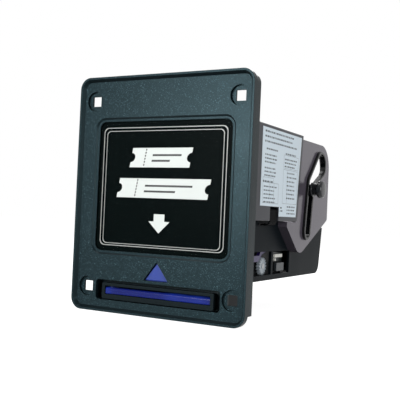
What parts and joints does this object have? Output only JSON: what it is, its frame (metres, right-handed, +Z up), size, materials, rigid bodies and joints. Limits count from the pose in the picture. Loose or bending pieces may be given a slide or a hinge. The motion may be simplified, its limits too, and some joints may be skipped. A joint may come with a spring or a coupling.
{
  "type": "panel-mount ticket printer",
  "caption": "Kiosk ticket printer: black bezel with a display window, an arrow light and a lit ticket mouth, with a thermal print mechanism, a cutter and a roll holder behind.",
  "frame": {"origin": "centre of the four bolt holes, 4.4 mm in front of the plane where the bezel seats on its panel", "axes": "+X to the right seen from the front, +Y to the rear into the cabinet and along the bolts, +Z up"},
  "size_m": [0.132, 0.1912, 0.1584],
  "materials": {
    "bezel_black": "black ABS, fine grain",
    "chassis_black": "black glass-filled plastic, smooth",
    "housing_black": "black ABS, smooth",
    "track_black": "black acetal, satin",
    "window_clear": "clear acrylic, polished",
    "card_black": "black card printed in white and silver",
    "lens_blue": "translucent blue acrylic",
    "board_green": "green solder mask",
    "lamp_white": "white lamp body",
    "steel": "bright zinc-plated steel",
    "blade_steel": "ground steel",
    "aluminium": "extruded aluminium",
    "gear_white": "natural acetal",
    "platen_rubber": "black rubber, ground",
    "lever_violet": "violet-blue plastic",
    "button_grey": "grey plastic",
    "label_white": "pale printed label",
    "cable_black": "black ribbon",
    "contact_brass": "plated brass",
    "bush_bronze": "sintered bronze",
    "ceramic_board": "glazed ceramic heater board"
  },
  "bodies": {
    "printer": {"bezel": "bezel_black", "window_pane": "window_clear", "display_card": "card_black", "card_retainer": "chassis_black", "retainer_screws": "steel", "arrow_lens": "lens_blue", "lamp_board": "board_green", "lamps": "lamp_white", "mouth_frame": "bezel_black", "mouth_lens": "lens_blue", "lower_chute": "chassis_black", "upper_chute": "chassis_black", "mouth_lamp_strip": "board_green", "ticket_sensor": "chassis_black", "chassis": "chassis_black", "lug_screws": "steel", "top_cover": "housing_black", "power_data_socket": "housing_black", "socket_pins": "contact_brass", "roll_cheek_right": "chassis_black", "roll_cheek_left": "chassis_black", "roll_tracks": "track_black", "roll_bucket": "chassis_black", "entry_guide": "steel", "control_housing": "housing_black", "control_backplate": "housing_black", "control_board": "board_green", "board_parts": "chassis_black", "rating_label": "label_white", "flat_cable": "cable_black", "cable_header": "lamp_white", "mechanism_frame": "steel", "platen_bushes": "bush_bronze", "idler_pin": "steel", "head_pivot_pin": "steel", "feed_motor": "steel", "cutter_frame": "steel", "fixed_blade": "blade_steel", "cutter_motor": "steel", "switch_board": "board_green", "button_base": "chassis_black", "switch_board_parts": "lamp_white"},
    "platen": {"platen_roller": "platen_rubber", "platen_shaft": "steel", "platen_gear": "gear_white", "hand_wheel": "gear_white"},
    "feed_idler": {"idler_gear": "gear_white"},
    "feed_motor_rotor": {"motor_pinion": "contact_brass"},
    "head": {"print_head": "ceramic_board", "head_heat_sink": "aluminium"},
    "release_lever": {"head_release_lever": "lever_violet"},
    "cutter": {"moving_blade": "blade_steel", "blade_rack": "gear_white"},
    "cutter_rotor": {"cutter_pinion": "gear_white"},
    "spindle": {"roll_spindle": "steel", "spindle_knobs": "track_black", "core_collars": "gear_white"},
    "core": {"core_sleeve": "cable_black"},
    "feed_key": {"feed_button": "button_grey"}
  },
  "joints": [
    {"name": "platen_turn", "type": "hinge", "parent": "printer", "child": "platen", "pos_m": [0, 0.068, -0.046], "axis": [1, 0, 0], "continuous": true},
    {"name": "idler_turn", "type": "hinge", "parent": "printer", "child": "feed_idler", "pos_m": [-0.0418, 0.08181, -0.04097], "axis": [1, 0, 0], "continuous": true},
    {"name": "motor_turn", "type": "hinge", "parent": "printer", "child": "feed_motor_rotor", "pos_m": [-0.0418, 0.09497, -0.04294], "axis": [1, 0, 0], "continuous": true},
    {"name": "lever_swing", "type": "hinge", "parent": "printer", "child": "release_lever", "pos_m": [0.0418, 0.084, -0.03], "axis": [-1, 0, 0], "range_deg": [0, 25]},
    {"name": "head_lift", "type": "hinge", "parent": "printer", "child": "head", "pos_m": [0, 0.084, -0.03], "axis": [-1, 0, 0], "range_deg": [0, 8]},
    {"name": "blade_stroke", "type": "slide", "parent": "printer", "child": "cutter", "axis": [0, 0, -1], "range_m": [0, 0.0055]},
    {"name": "cutter_turn", "type": "hinge", "parent": "printer", "child": "cutter_rotor", "pos_m": [0.022, 0.05451, -0.023], "axis": [1, 0, 0], "range_deg": [0, 64.31]},
    {"name": "spindle_drop", "type": "slide", "parent": "printer", "child": "spindle", "axis": [0, 0.1392, 0.9903], "range_m": [-0.033, 0.0045]},
    {"name": "core_turn", "type": "hinge", "parent": "spindle", "child": "core", "pos_m": [0, 0.1285, 0.012], "axis": [1, 0, 0], "continuous": true},
    {"name": "feed_key_press", "type": "slide", "parent": "printer", "child": "feed_key", "axis": [-1, 0, 0], "range_m": [0, 0.001], "stiffness_N_per_m": 900, "springref_m": -0.0003}
  ],
  "couplings": [
    {"joint": "idler_turn", "follows": "platen_turn", "ratio": -0.61538},
    {"joint": "motor_turn", "follows": "platen_turn", "ratio": 1.3333},
    {"joint": "head_lift", "follows": "lever_swing", "ratio": 0.32},
    {"joint": "cutter_turn", "follows": "blade_stroke", "rad_per_m": 204.08}
  ]
}
